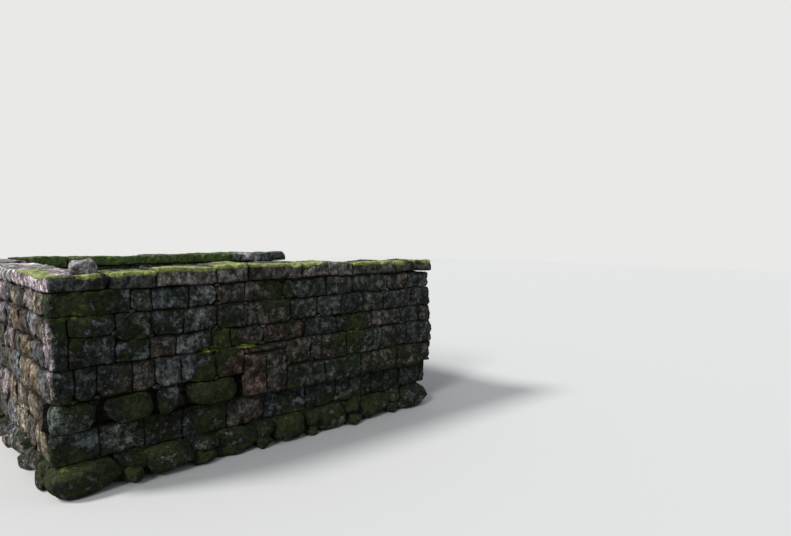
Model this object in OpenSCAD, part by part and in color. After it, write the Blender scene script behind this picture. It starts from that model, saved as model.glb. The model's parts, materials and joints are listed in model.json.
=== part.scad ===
// Ruined foundation of a mill: four dry-laid granite walls round a pit open to the sky.
// X runs along the near wall, Y into the depth, Z up. Lengths are millimetres.
// The origin is on the ground, in the middle of the plan.

/* [Plan] */
// Length of the near and rear walls, outside
length = 7550; // [6500:50:9000]
// Distance from the near wall's face to the rear wall's face
depth = 7300; // [5800:50:8900]
// Thickness of the outer leaf of squared blocks
leaf_t = 420; // [320:10:520]
// Width of the rubble hearting between the leaves
heart_w = 120; // [60:10:240]
// Thickness of the inner leaf
back_t = 300; // [240:10:440]

/* [Courses] */
// Height of the boulders that the walls stand on
base_h = 480; // [350:10:600]
// Height of the foot course above the boulders
foot_h = 480; // [300:10:560]
// Height of the ledge course, above the foot course
ledge_h = 440; // [340:10:560]
// Height of the first squared course
first_h = 470; // [380:10:560]
// Height of the second squared course
second_h = 330; // [300:10:480]
// Height of the third squared course
third_h = 400; // [320:10:520]
// Height of the fourth squared course
fourth_h = 360; // [300:10:480]
// Usual thickness of a coping slab
coping_t = 240; // [180:10:320]

/* [Stones] */
// Open gap between two neighbours in a course
joint_w = 14; // [6:1:26]
// Depth over which a worn edge falls away behind the face
arris = 44; // [20:1:60]
// How far a face is drawn in from the stone's edges by wear
wear = 30; // [10:1:44]
// How far one face may stand behind another
rough = 24; // [0:1:40]
// How far a rough-split face bulges in its middle
crown = 26; // [4:1:36]
// Setback of each squared course behind the one below
batter = 8; // [0:1:14]
// Usual length of a block in the rear and right walls
block_l = 950; // [700:10:1300]
// Usual length of a block in the left wall
rubble_l = 640; // [500:10:900]
// Usual length of a coping slab that doesn't show
slab_l = 1330; // [900:10:1700]
// Usual length of a stone in the inner leaf
back_l = 1350; // [900:10:1800]
// Usual length of a base boulder
boulder_l = 1080; // [800:10:1500]

/* [Foot] */
// How far the base boulders stand out from the walls
base_out = 70; // [40:5:160]
// Setback of the near wall's foot course, under its ledge boulders
undercut = 170; // [60:5:240]
// Setback of the foot course in the other walls
foot_set = 40; // [10:5:100]

/* [Upright stones] */
// Width of the tall quoin at the near wall's left corner
quoin_w = 270; // [240:10:330]
// Left edge of the pair of tall red blocks in the near wall
jumper_u = 2970; // [2850:10:3050]
// Width of the left tall block
jumper_left_w = 420; // [340:10:480]
// Width of the right tall block
jumper_right_w = 400; // [340:10:480]
// Height of the tall blocks, from the bed of the ledge course
jumper_h = 770; // [600:10:820]

/* [Bed step] */
// Distance from the left corner at which one bed of the near wall steps down
step_u = 900; // [860:10:940]
// Height of that step
step_h = 110; // [40:10:140]

/* [Coping] */
// How far the slabs of the hidden walls may differ in height from the usual
uneven = 15; // [0:1:30]
// How far a coping slab stands out from the course below
coping_out = 12; // [0:1:24]
// Length of the one slab left on the right wall, at its rear end; the rest are lost
last_slab_l = 500; // [400:10:1500]

/* [Loose boulder] */
// Length of the boulder that lies on the near wall
loose_l = 480; // [400:10:490]
// Width of that boulder
loose_w = 340; // [260:10:400]
// Height of that boulder
loose_h = 205; // [150:5:260]
// Distance of its middle from the left corner, along the near wall
loose_u = 630; // [500:10:630]

/* [Hidden] */

// The walls as met going round the plan; seen from outside, each starts at its left end
NEAR = 0;
RIGHT = 1;
REAR = 2;
LEFT = 3;

// The levels of stone, from the ground up
BASE = 0;
FOOT = 1;
LEDGE = 2;
FIRST = 3;
SECOND = 4;
THIRD = 5;
FOURTH = 6;
COPING = 7;
BACKING = 8;

heights = [base_h, foot_h, ledge_h, first_h, second_h, third_h, fourth_h];
beds = [for (i = 0, z = 0; i <= len(heights); z = z + (i < len(heights) ? heights[i] : 0), i = i + 1) z];

// Hair of clearance between two stones of one node that lie on each other
hair = 0.3;
// No stone shorter than this is left at the end of a course
shortest = 240;
// Rows of stones in the inner leaf
back_rows = 4;
// How far the hearting stays below the bed of the coping
heart_drop = 30;

// Where each band of a wall starts, measured in from the outer face
heart_v = leaf_t;
back_v = leaf_t + heart_w;
wall_t = leaf_t + heart_w + back_t;
coping_v = batter * (FOURTH - FIRST) - coping_out;

dark_granite = "#55564f";
mossy_granite = "#465033";
red_granite = "#75584b";
pink_granite = "#a1938c";
tan_granite = "#978872";
grey_granite = "#77766f";
rubble_grey = "#5c5a52";
pale_grey = "#8e8b84";

// Joints of the near wall, as it shows them: distances from its left corner
jumper_mid = jumper_u + jumper_left_w;
jumper_end = jumper_mid + jumper_right_w;
near_joints = [
    [],
    [700, 1350, 1950, 2700, 3400, 4300, 5000, 5900, 6700],
    [720, 1500, 1870, jumper_u, jumper_end, 4650, 5500, 6500],
    [330, 650, 1130, 1470, 1870, 2450, jumper_u, jumper_end, 4350, 5150, 6050, 6800],
    [quoin_w, step_u, 1390, 1800, 2420, 2730, 3330, 4200, 4930, 5800, 6620],
    [quoin_w, step_u, 1420, 1950, 2480, 3020, 3900, 4480, 5600, 6120, 6900],
    [1150, 1460, 2030, 2480, 3000, 3760, 4700, 5330, 6250, 6800]
];

// Joints of the left wall where it shows: distances from its near corner
left_joints = [
    [],
    [1150, 1900, 2700],
    [900, 1500, 2200, 2900],
    [760, 1250, 1850, 2500, 3150],
    [820, 1290, 1900, 2330, 3000],
    [880, 1400, 1930, 2560, 3060],
    [1080, 1640, 2130, 2700, 3120]
];

// Coping joints of those two walls, from the same corner, and how the near slabs differ in height
near_slabs = [1520, 2480, 3040, 4150, 5300, 6400];
near_rise = [0, 40, 60, 45, 30, 10, -10];
left_slabs = [2270, 3900, 5100];

// Number that a stone's, or a row's, chance values start from
function seed(wall, k, i = 0) = 1000 * wall + 100 * k + i;

function mix(a, b, t) = a + (b - a) * t;
function has(list, name) = len([for (n = list) if (n == name) n]) > 0;
function is_long(wall) = wall == NEAR || wall == REAR;
function wall_l(wall) = is_long(wall) ? length : depth;

// Joints kept between two ends, with no sliver of a stone beside either
function kept(list, from, to) =
    concat([from], [for (j = list) if (j > from + shortest && j < to - shortest) j], [to]);

// Joints spread between two ends at a usual spacing, each shifted a little
function spread(from, to, usual, start) =
    let (n = max(1, round((to - from) / usual)), step = (to - from) / n, r = rands(-0.2, 0.2, n + 1, start))
    [for (i = [0:n]) from + step * (i + (i == 0 || i == n ? 0 : r[i]))];

// Setback of a wall's outer face at a level
function setback(wall, k) =
    k == FOOT ? (wall == NEAR ? undercut : foot_set)
    : k == LEDGE ? 0
    : k == COPING ? coping_v
    : batter * (k - FIRST);

// Whether the wall that starts at a corner runs through it at a level, or butts against its neighbour
function runs_through(wall, k) =
    wall == NEAR ? k != COPING : k % 2 == (wall == RIGHT ? 0 : 1);
function next_wall(wall) = (wall + 1) % 4;
function last_wall(wall) = (wall + 3) % 4;

// Thickness that a neighbour fills at a corner
function corner_t(k) = (k == COPING ? wall_t : leaf_t) + joint_w;
function level_start(wall, k) = runs_through(wall, k) ? setback(last_wall(wall), k) : corner_t(k);
function level_end(wall, k) =
    wall_l(wall) - (runs_through(next_wall(wall), k) ? corner_t(k) : setback(next_wall(wall), k));

// Left wall's joints, turned to run from its rear end: the seen ones by hand, the others spread
function left_row(from, to, shown, usual, start) =
    let (seen = kept([for (i = [len(shown) - 1:-1:0]) depth - shown[i]], from, to))
    concat(spread(from, seen[1], usual, start), [for (i = [2:len(seen) - 1]) seen[i]]);

function level_joints(wall, k) =
    let (from = level_start(wall, k), to = level_end(wall, k))
    wall == NEAR ? kept(near_joints[k], from, to)
    : wall == LEFT ? left_row(from, to, left_joints[k], rubble_l, seed(wall, k))
    : spread(from, to, block_l, seed(wall, k));

function slab_joints(wall) =
    let (from = level_start(wall, COPING), to = level_end(wall, COPING))
    wall == NEAR ? kept(near_slabs, from, to)
    : wall == LEFT ? left_row(from, to, left_slabs, slab_l, seed(wall, COPING))
    : wall == RIGHT ? [to - last_slab_l, to]
    : spread(from, to, slab_l, seed(wall, COPING));

// Range of a stone between two joints of a row, with half a gap at each inner joint
function between(joints, i) = [
    joints[i] + (i == 0 ? 0 : joint_w / 2),
    joints[i + 1] - (i == len(joints) - 2 ? 0 : joint_w / 2)];

// The ends of a row's stone that stand free at a corner of the plan
function free_ends(wall, k, i, count) = concat(
    i == 0 && runs_through(wall, k) ? ["start"] : [],
    i == count - 1 && !runs_through(next_wall(wall), k) ? ["end"] : []);

// Bed and top of a stone of a squared course; one bed of the near wall steps
function stone_z(wall, k, u) =
    let (step = wall == NEAR && u < step_u ? step_h : 0)
    [beds[k] + (k == THIRD ? step : 0), beds[k + 1] + (k == SECOND ? step : 0)];

// Stretches of the near wall's squared courses that its tall stones fill
function is_filled(wall, k, u) = wall == NEAR && (
    (k == SECOND || k == THIRD) && u < quoin_w || k == FIRST && u >= jumper_u && u < jumper_end);

// Corners of a face drawn in by wear, over two ranges
function worn_outline(a, b, r) = [
    [a[0] + wear * r[0], b[0] + wear * r[1]],
    [a[1] - wear * r[2], b[0] + wear * r[3]],
    [a[1] - wear * r[4], b[1] - wear * r[5]],
    [a[0] + wear * r[6], b[1] - wear * r[7]]];

// Points of a squared stone: its face is at v[0], and worn also names its other open sides
function stone_points(u, v, z, worn, start) =
    let (
        inward = v[1] > v[0] ? 1 : -1,
        r = rands(0.45, 1.15, 40, start),
        m = rands(0.3, 0.7, 4, start + 1),
        cut = [for (side = ["start", "end", "top"]) has(worn, side) ? arris : 0],
        core_u = [u[0] + cut[0] * r[0], u[1] - cut[1] * r[1]],
        core_v = [v[0] + inward * arris * r[2], v[1]],
        core_z = [z[0], z[1] - cut[2] * 0.6]
    )
    concat(
        [for (x = core_u, y = core_v, h = core_z) [x, y, h]],
        [for (p = worn_outline(u, z, [for (i = [0:7]) r[3 + i]])) [p.x, v[0], p.y]],
        [for (i = [0, 2])
            [mix(u[0], u[1], m[i]), v[0] - inward * crown * m[3 - i], mix(z[0], z[1], m[i + 1])]],
        cut[0] == 0 ? [] : [for (p = worn_outline(v, z, [for (i = [0:7]) r[14 + i]])) [u[0], p.x, p.y]],
        cut[1] == 0 ? [] : [for (p = worn_outline(v, z, [for (i = [0:7]) r[22 + i]])) [u[1], p.x, p.y]],
        cut[2] == 0 ? [] : [for (p = worn_outline(u, v, [for (i = [0:7]) r[30 + i]])) [p.x, p.y, z[1]]]);

// Field boulders: shares of the height at which their outline is given, and of their span at each
boulder_levels = [0, 0.3, 0.72, 1];
round_spans = [0.76, 1, 0.95, 0.68];
full_spans = [0.9, 1, 0.98, 0.84];
boulder_square = 3.8;

// Points of a boulder with a flat bed and a flat top
function boulder_points(u, v, z, spans, start) =
    let (
        r = rands(0.94, 1, 32, start),
        middle = [(u[0] + u[1]) / 2, (v[0] + v[1]) / 2],
        half = [(u[1] - u[0]) / 2, (v[1] - v[0]) / 2]
    )
    [for (l = [0:3], i = [0:7])
        let (
            c = cos(45 * i),
            s = sin(45 * i),
            reach = pow(pow(abs(c), boulder_square) + pow(abs(s), boulder_square), -1 / boulder_square),
            grown = spans[l] * reach * (l == 1 && i % 2 == 0 ? 1 : r[8 * l + i])
        )
        [middle.x + half.x * grown * c, middle.y + half.y * grown * s, mix(z[0], z[1], boulder_levels[l])]];

// Convex solid through a list of points
module through(points) {
    hull() polyhedron(points = points, faces = [[for (i = [0:len(points) - 1]) i]]);
}

module stone(u, v, z, start, worn = []) {
    through(stone_points(u, v, z, worn, start));
}

module boulder(u, v, z, spans, start) {
    through(boulder_points(u, v, z, spans, start));
}

// Puts its children on a wall: local X along its outer face, local Y into it
module on_wall(wall) {
    start = [[-length, -depth], [length, -depth], [length, depth], [-length, depth]][wall] / 2;
    translate(start) rotate(90 * wall) children();
}

// One squared course of a wall's outer leaf
module course(wall, k) {
    joints = level_joints(wall, k);
    count = len(joints) - 1;
    behind = rands(0, rough, count, seed(wall, k));
    on_wall(wall)
        for (i = [0:count - 1])
            if (!is_filled(wall, k, joints[i]))
                stone(between(joints, i), [setback(wall, k) + behind[i], leaf_t],
                    stone_z(wall, k, joints[i]), seed(wall, k, i), free_ends(wall, k, i, count));
}

// The near wall's ledge course: boulders up to the tall blocks, and squared stones beyond them
module boulder_ledge() {
    joints = level_joints(NEAR, LEDGE);
    count = len(joints) - 1;
    z = [beds[LEDGE], beds[FIRST]];
    on_wall(NEAR)
        for (i = [0:count - 1])
            if (joints[i] < jumper_u)
                boulder(between(joints, i), [0, leaf_t], z, full_spans, seed(NEAR, LEDGE, i));
            else if (joints[i] >= jumper_end)
                stone(between(joints, i), [0, leaf_t], z, seed(NEAR, LEDGE, i),
                    free_ends(NEAR, LEDGE, i, count));
}

// Boulders under a wall's whole thickness; the long walls take the corners
module base(wall) {
    from = is_long(wall) ? -base_out : wall_t + joint_w;
    joints = spread(from, wall_l(wall) - from, boulder_l, seed(wall, BASE));
    on_wall(wall)
        for (i = [0:len(joints) - 2])
            boulder(between(joints, i), [-base_out, wall_t], [0, beds[FOOT]], round_spans,
                seed(wall, BASE, i));
}

// Slabs over a wall's whole thickness
module coping(wall) {
    joints = slab_joints(wall);
    count = len(joints) - 1;
    chance = rands(-uneven, uneven, count, seed(wall, COPING));
    // The left wall's slab at the near corner has the usual height, and carries the loose boulder
    rise = wall == NEAR ? near_rise
        : [for (i = [0:count - 1]) wall == LEFT && i == count - 1 ? 0 : chance[i]];
    on_wall(wall)
        for (i = [0:count - 1])
            stone(between(joints, i), [coping_v, wall_t], [beds[COPING], beds[COPING] + coping_t + rise[i]],
                seed(wall, COPING, i), concat(["top"], free_ends(wall, COPING, i, count)));
}

// Rubble packed between the leaves of a wall, as one mass; the long walls take the corners
module hearting(wall) {
    from = is_long(wall) ? heart_v : back_v;
    on_wall(wall)
        translate([from, heart_v, beds[FOOT]])
            cube([wall_l(wall) - 2 * from, heart_w, beds[COPING] - heart_drop - beds[FOOT]]);
}

// Inner leaf of a wall, in rows; the long walls take the corners
module backing(wall) {
    from = is_long(wall) ? back_v : wall_t + joint_w;
    row_h = (beds[COPING] - beds[FOOT]) / back_rows;
    on_wall(wall)
        for (k = [0:back_rows - 1]) {
            joints = spread(from, wall_l(wall) - from, back_l, seed(wall, BACKING, k));
            for (i = [0:len(joints) - 2])
                stone(between(joints, i), [wall_t, back_v],
                    [beds[FOOT] + k * row_h, beds[FOOT] + (k + 1) * row_h - (k == back_rows - 1 ? 0 : hair)],
                    seed(wall, BACKING + k, i));
        }
}

module near_base() { color(mossy_granite) base(NEAR); }
module near_foot() { color(dark_granite) course(NEAR, FOOT); }
module near_ledge() { color(mossy_granite) boulder_ledge(); }
module near_course_1() { color(dark_granite) course(NEAR, FIRST); }
module near_course_2() { color(dark_granite) course(NEAR, SECOND); }
module near_course_3() { color(dark_granite) course(NEAR, THIRD); }
module near_course_4() { color(dark_granite) course(NEAR, FOURTH); }
module near_coping() { color(mossy_granite) coping(NEAR); }
module near_hearting() { color(rubble_grey) hearting(NEAR); }
module near_backing() { color(rubble_grey) backing(NEAR); }

// Tall stone that binds the left corner over two courses
module near_quoin() {
    color(pink_granite) on_wall(NEAR)
        stone([setback(LEFT, SECOND), quoin_w - joint_w / 2], [setback(NEAR, SECOND), leaf_t],
            [beds[SECOND], beds[FOURTH]], seed(NEAR, SECOND), ["start"]);
}

// Two tall red blocks side by side, and the flat stone that levels them up to their course
module near_jumpers() {
    edges = [jumper_u, jumper_mid, jumper_end];
    top = beds[LEDGE] + jumper_h;
    color(red_granite) on_wall(NEAR) {
        for (i = [0, 1])
            stone([edges[i] + joint_w / 2, edges[i + 1] - joint_w / 2], [0, leaf_t],
                [beds[LEDGE], top - hair], seed(NEAR, LEDGE, i));
        stone([edges[0] + joint_w / 2, edges[2] - joint_w / 2], [rough, leaf_t], [top, beds[SECOND]],
            seed(NEAR, FIRST));
    }
}

module left_base() { color(mossy_granite) base(LEFT); }
module left_foot() { color(grey_granite) course(LEFT, FOOT); }
module left_ledge() { color(grey_granite) course(LEFT, LEDGE); }
module left_course_1() { color(tan_granite) course(LEFT, FIRST); }
module left_course_2() { color(grey_granite) course(LEFT, SECOND); }
module left_course_3() { color(pink_granite) course(LEFT, THIRD); }
module left_course_4() { color(tan_granite) course(LEFT, FOURTH); }
module left_coping() { color(pink_granite) coping(LEFT); }
module left_hearting() { color(rubble_grey) hearting(LEFT); }
module left_backing() { color(rubble_grey) backing(LEFT); }

module rear_base() { color(mossy_granite) base(REAR); }
module rear_foot() { color(grey_granite) course(REAR, FOOT); }
module rear_ledge() { color(grey_granite) course(REAR, LEDGE); }
module rear_course_1() { color(grey_granite) course(REAR, FIRST); }
module rear_course_2() { color(grey_granite) course(REAR, SECOND); }
module rear_course_3() { color(grey_granite) course(REAR, THIRD); }
module rear_course_4() { color(grey_granite) course(REAR, FOURTH); }
module rear_coping() { color(mossy_granite) coping(REAR); }
module rear_hearting() { color(rubble_grey) hearting(REAR); }
module rear_backing() { color(rubble_grey) backing(REAR); }

module right_base() { color(mossy_granite) base(RIGHT); }
module right_foot() { color(grey_granite) course(RIGHT, FOOT); }
module right_ledge() { color(grey_granite) course(RIGHT, LEDGE); }
module right_course_1() { color(grey_granite) course(RIGHT, FIRST); }
module right_course_2() { color(grey_granite) course(RIGHT, SECOND); }
module right_course_3() { color(grey_granite) course(RIGHT, THIRD); }
module right_course_4() { color(grey_granite) course(RIGHT, FOURTH); }
module right_coping() { color(mossy_granite) coping(RIGHT); }
module right_hearting() { color(rubble_grey) hearting(RIGHT); }
module right_backing() { color(rubble_grey) backing(RIGHT); }

// Boulder that lies on the slab over the near left corner
module loose_boulder() {
    v = wall_t * 0.62;
    z = beds[COPING] + coping_t;
    color(pale_grey) on_wall(NEAR)
        boulder([loose_u - loose_l / 2, loose_u + loose_l / 2], [v - loose_w / 2, v + loose_w / 2],
            [z, z + loose_h], round_spans, seed(NEAR, COPING));
}

near_base();
near_foot();
near_ledge();
near_course_1();
near_course_2();
near_course_3();
near_course_4();
near_coping();
near_hearting();
near_backing();
near_quoin();
near_jumpers();
left_base();
left_foot();
left_ledge();
left_course_1();
left_course_2();
left_course_3();
left_course_4();
left_coping();
left_hearting();
left_backing();
rear_base();
rear_foot();
rear_ledge();
rear_course_1();
rear_course_2();
rear_course_3();
rear_course_4();
rear_coping();
rear_hearting();
rear_backing();
right_base();
right_foot();
right_ledge();
right_course_1();
right_course_2();
right_course_3();
right_course_4();
right_coping();
right_hearting();
right_backing();
loose_boulder();
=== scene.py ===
# %% [markdown]
# # Looks of a ruined granite foundation
# The real object is the roofless foundation of a mill: four dry-laid walls of split granite round an open
# pit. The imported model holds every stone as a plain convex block. Here each block is replaced by a stone with
# a split face, worn arrises, uneven joints, lichen and moss, in the same place and no larger. The noise is
# given a seed here, and each node seeds the chance for its own stones, so every run makes the same walls.

import json
import math
import random

import bmesh
import bpy
from mathutils import Matrix, Vector, noise
from mathutils.bvhtree import BVHTree


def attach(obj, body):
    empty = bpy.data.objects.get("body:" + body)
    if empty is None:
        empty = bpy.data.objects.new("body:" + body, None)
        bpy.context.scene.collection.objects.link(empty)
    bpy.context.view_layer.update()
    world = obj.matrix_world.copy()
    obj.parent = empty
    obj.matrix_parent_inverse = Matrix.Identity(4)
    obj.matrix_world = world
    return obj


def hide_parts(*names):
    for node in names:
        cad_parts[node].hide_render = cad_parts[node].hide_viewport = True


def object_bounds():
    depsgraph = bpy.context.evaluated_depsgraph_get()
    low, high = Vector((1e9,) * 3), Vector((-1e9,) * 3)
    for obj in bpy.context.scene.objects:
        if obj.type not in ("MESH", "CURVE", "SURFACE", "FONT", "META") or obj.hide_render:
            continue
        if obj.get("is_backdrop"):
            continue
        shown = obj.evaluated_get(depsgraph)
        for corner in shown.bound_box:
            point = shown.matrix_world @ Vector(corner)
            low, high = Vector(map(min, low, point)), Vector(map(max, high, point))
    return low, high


NOISE_SEED = 7
noise.seed_set(NOISE_SEED)
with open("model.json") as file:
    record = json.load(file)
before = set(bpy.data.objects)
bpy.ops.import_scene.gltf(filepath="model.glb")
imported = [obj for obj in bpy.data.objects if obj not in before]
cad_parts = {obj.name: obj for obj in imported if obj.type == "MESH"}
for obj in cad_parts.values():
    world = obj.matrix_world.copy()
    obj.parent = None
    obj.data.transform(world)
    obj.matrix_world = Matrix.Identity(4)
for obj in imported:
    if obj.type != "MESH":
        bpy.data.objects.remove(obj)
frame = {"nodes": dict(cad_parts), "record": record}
cad_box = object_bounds()
print("CAD box:", [[round(c, 3) for c in corner] for corner in cad_box])

# %% [markdown]
# ## Camera
# The near wall's left corner, its top line and the far wall's top line fix where the viewer stood: a little
# above the walls, out from the left corner, and turned towards the right end. A level lens with a slight tilt
# down gives the same perspective, so no shift is needed.

# %% Camera
EYE = Vector((-1.978, -9.043, 3.786))
TURN = math.radians(42.79)
TILT_DOWN = math.radians(3.434)
FOCAL_PX = 600.0
IMAGE_W = 791
SENSOR = 36.0
PLAN_CORNER = Vector((-3.775, -3.65, 0.0))


def add_to_scene(name, data):
    thing = bpy.data.objects.new(name, data)
    bpy.context.scene.collection.objects.link(thing)
    return thing


def add_camera():
    lens = bpy.data.cameras.new("viewer")
    lens.sensor_width = SENSOR
    lens.lens = SENSOR * FOCAL_PX / IMAGE_W
    camera = add_to_scene("viewer", lens)
    camera.location = PLAN_CORNER + EYE
    camera.rotation_euler = (math.pi / 2 - TILT_DOWN, 0, -TURN)
    bpy.context.scene.camera = camera
    return camera


camera = add_camera()
print("Camera at", [round(c, 3) for c in camera.location])

# %% [markdown]
# ## Reading the stones
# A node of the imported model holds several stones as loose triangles. Merging the doubles of a copy joins each
# stone's triangles, and walking over the linked faces then tells the stones apart. A squared stone needs only
# its two corners. A boulder is kept as a mesh, because its outline is its shape.

# %% Stones of a node
MERGE = 0.00005
BOULDER_CORNERS = 24


class Stone:
    """One stone of a node: its corners, and its mesh's points and triangles."""

    def __init__(self, faces):
        corners = sorted({v for f in faces for v in f.verts}, key=lambda v: v.index)
        place = {v: i for i, v in enumerate(corners)}
        self.points = [v.co.copy() for v in corners]
        self.faces = [[place[v] for v in f.verts] for f in faces]
        self.low = Vector([min(p[a] for p in self.points) for a in range(3)])
        self.high = Vector([max(p[a] for p in self.points) for a in range(3)])
        self.middle = (self.low + self.high) / 2
        self.is_boulder = len(corners) > BOULDER_CORNERS

    def level(self, axis, sign):
        """Where a side of the stone lies on an axis: the high side for a sign of 1, the low side for -1."""
        return self.high[axis] if sign > 0 else self.low[axis]


def linked_faces(bm):
    left = set(bm.faces)
    while left:
        first = min(left, key=lambda f: f.index)
        found, front = {first}, [first]
        while front:
            face = front.pop()
            for edge in face.edges:
                for other in edge.link_faces:
                    if other not in found:
                        found.add(other)
                        front.append(other)
        left -= found
        yield sorted(found, key=lambda f: f.index)


def stones_of(node):
    bm = bmesh.new()
    bm.from_mesh(frame["nodes"][node].data)
    bmesh.ops.remove_doubles(bm, verts=bm.verts[:], dist=MERGE)
    bm.verts.index_update()
    bm.faces.index_update()
    stones = [Stone(faces) for faces in linked_faces(bm)]
    bm.free()
    return stones


stones = {node: stones_of(node) for node in frame["nodes"]}
print("Stones:", sum(len(s) for s in stones.values()), "in", len(stones), "nodes")

# %% [markdown]
# ## Which sides show
# Only the sides of a stone that show need detail: the wall's outer face, the ends at the corners of the plan,
# the tops of the coping and of the bare right wall, and the inner leaf's side to the pit. The rest stay flat,
# because they bear on other stones.

# %% Open sides
OUTWARD = {"near": (1, -1), "rear": (1, 1), "left": (0, -1), "right": (0, 1)}
CORNER_REACH = 0.1
TOP = (2, 1)
TOP_ROW_ABOVE = 2.9
LONGEST_REACH = (3.775, 3.65)


def wall_of(node):
    return node.split("_")[0]


def is_at_plan_edge(stone, axis, sign):
    return sign * stone.level(axis, sign) > LONGEST_REACH[axis] - CORNER_REACH


def open_sides(node, stone):
    outward = OUTWARD[wall_of(node)]
    inward = (outward[0], -outward[1])
    if node.endswith("backing"):
        sides = {inward}
        if node.startswith("right") and stone.high.z > TOP_ROW_ABOVE:
            sides.add(TOP)
        return sides
    sides = {outward}
    along = 1 - outward[0]
    for sign in (-1, 1):
        if is_at_plan_edge(stone, along, sign):
            sides.add((along, sign))
    if node.endswith("coping"):
        sides |= {TOP, inward}
        if node.startswith("right"):
            sides.add((along, -1))
    if node == "right_course_4":
        sides.add(TOP)
    return sides


shown = sum(len(open_sides("near_course_4", s)) for s in stones["near_course_4"])
print("Open sides in the near wall's fourth course:", shown)

# %% [markdown]
# ## Cutting a block into cells
# A real block is split from the rock and then weathers, so its face needs enough cells to carry a rough
# surface. A cube is scaled to the block and its edges are subdivided, finely along the sides that show.
# Across the depth, a few planes near the open face are enough. Once the face has its relief, the flat hidden
# sides are dissolved again.

# %% Block
BAND_DEPTHS = (0.012, 0.03, 0.06, 0.10)
FLAT_ANGLE = math.radians(0.4)


def edges_along(bm, axis):
    found = []
    for edge in bm.edges:
        span = edge.verts[1].co - edge.verts[0].co
        if abs(span[axis]) > 0.9 * span.length:
            found.append(edge)
    return found


def cut_block(stone, sides, cells):
    bm = bmesh.new()
    bmesh.ops.create_cube(bm, size=1.0)
    size = stone.high - stone.low
    bmesh.ops.scale(bm, vec=size, verts=bm.verts[:])
    bmesh.ops.translate(bm, vec=stone.middle, verts=bm.verts[:])
    for axis in range(3):
        if any(side[0] != axis for side in sides):
            cuts = max(1, round(size[axis] / cells[axis])) - 1
            if cuts:
                bmesh.ops.subdivide_edges(bm, edges=edges_along(bm, axis), cuts=cuts, use_grid_fill=True)
            continue
        for _, sign in sides:
            for depth in BAND_DEPTHS:
                place = stone.middle.copy()
                place[axis] = stone.level(axis, sign) - sign * depth
                normal = [float(a == axis) for a in range(3)]
                bmesh.ops.bisect_plane(bm, geom=bm.verts[:] + bm.edges[:] + bm.faces[:], plane_co=place,
                                       plane_no=normal)
    return bm


test = stones["near_course_4"][1]
trial = cut_block(test, open_sides("near_course_4", test), (0.022, 0.022, 0.022))
print("Cells of one block:", len(trial.faces))
trial.free()

# %% [markdown]
# ## Weathering a stone
# Granite that is split with wedges shows a nearly flat middle, from which a few facets fall away to the
# edges. Over them lie broad hollows and a fine broken grain. The edges spall, so joints open unevenly towards
# the face and stay tight further in. The near wall's beds are open and its upright joints are tight, so there
# an upright joint counts for a third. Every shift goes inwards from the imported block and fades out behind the
# face, so no stone grows into its neighbour and the beds stay true.

# %% How stones were worked
class Finish:
    """How a kind of stone was worked: the depths of its relief, in metres."""

    def __init__(self, bulge, swell, pit, grain, arris, joint, chip, upright=1.0):
        self.bulge, self.swell, self.pit, self.grain = bulge, swell, pit, grain
        self.arris, self.joint, self.chip, self.upright = arris, joint, chip, upright


SPLIT = Finish(bulge=0.036, swell=0.018, pit=0.024, grain=0.016, arris=0.010, joint=0.016, chip=0.09)
TIGHT = Finish(bulge=0.024, swell=0.022, pit=0.028, grain=0.018, arris=0.010, joint=0.012, chip=0.09,
               upright=0.33)
SLAB = Finish(bulge=0.014, swell=0.010, pit=0.008, grain=0.006, arris=0.012, joint=0.009, chip=0.06)
BACK = Finish(bulge=0.045, swell=0.024, pit=0.026, grain=0.008, arris=0.018, joint=0.020, chip=0.09)
FACETS = 4
FACET_START = 0.6
SET_BACK = 0.45


class SplitFace:
    """The facets of one split face, each a direction and a start between the middle, 0, and the edge, 1."""

    def __init__(self, stone, axis, finish):
        self.across = [a for a in range(3) if a != axis]
        self.middle, self.half = stone.middle, (stone.high - stone.low) / 2
        self.bulge = finish.bulge if axis != 2 else 0.0
        turns = [random.uniform(0, math.tau) for _ in range(FACETS)]
        self.facets = [(math.cos(t), math.sin(t), random.uniform(0.0, FACET_START)) for t in turns]
        self.set_back = random.uniform(0.0, SET_BACK) * finish.bulge

    def depth(self, point):
        u, v = ((point[a] - self.middle[a]) / self.half[a] for a in self.across)
        fallen = max(c * u + s * v - start for c, s, start in self.facets)
        return self.set_back + self.bulge * max(0.0, fallen)


random.seed(NOISE_SEED)
probe = SplitFace(test, 1, SPLIT)
print("A corner lies back by", round(probe.depth(test.low) * 1000, 1), "mm")

# %% [markdown]
# ## Relief of a face
# A displacement modifier with a texture could roughen the whole wall, but it would move joints and faces
# alike. So each point of a stone is moved in code, the way a sculpting brush does: back from the face by the
# facets, hollows, pits and grain, and back from the joint by its own ragged opening.

# %% Relief
FADE = 0.15
JOINT_FADE = 0.1
CORNER_R = 0.07
CORNER_DEEP = 0.011
OPEN_CORNER_DEEP = 0.055
SHIFT_SPAN = 40.0
# How large the parts of the relief are along the face, and how far wear reaches in from an edge, in metres
HOLLOW_SIZE, PIT_SIZE, GRAIN_SIZE, CHIP_SIZE, JOINT_SIZE = 0.35, 0.15, 0.06, 0.13, 0.37
BEND, BEND_SIZE = 0.06, 0.11
PIT_RIM, CHIP_START = 0.75, 0.12
ARRIS_REACH, CHIP_REACH = 0.06, 0.13
GRAIN_FRACTAL = (0.7, 2.1, 3)


def side_depth(stone, axis, sign, point):
    return sign * (stone.level(axis, sign) - point[axis])


def nearest_side(stone, point, axes):
    return min(min(point[a] - stone.low[a], stone.high[a] - point[a]) for a in axes)


def edge_distance(stone, point, face_axis, finish):
    """How far a point of a face is from its edges. One at a tight upright joint counts as further away."""
    gaps = []
    for axis in range(3):
        if axis != face_axis:
            gap = nearest_side(stone, point, [axis])
            gaps.append(gap if axis == 2 or face_axis == 2 else gap / finish.upright)
    return min(gaps)


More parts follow.
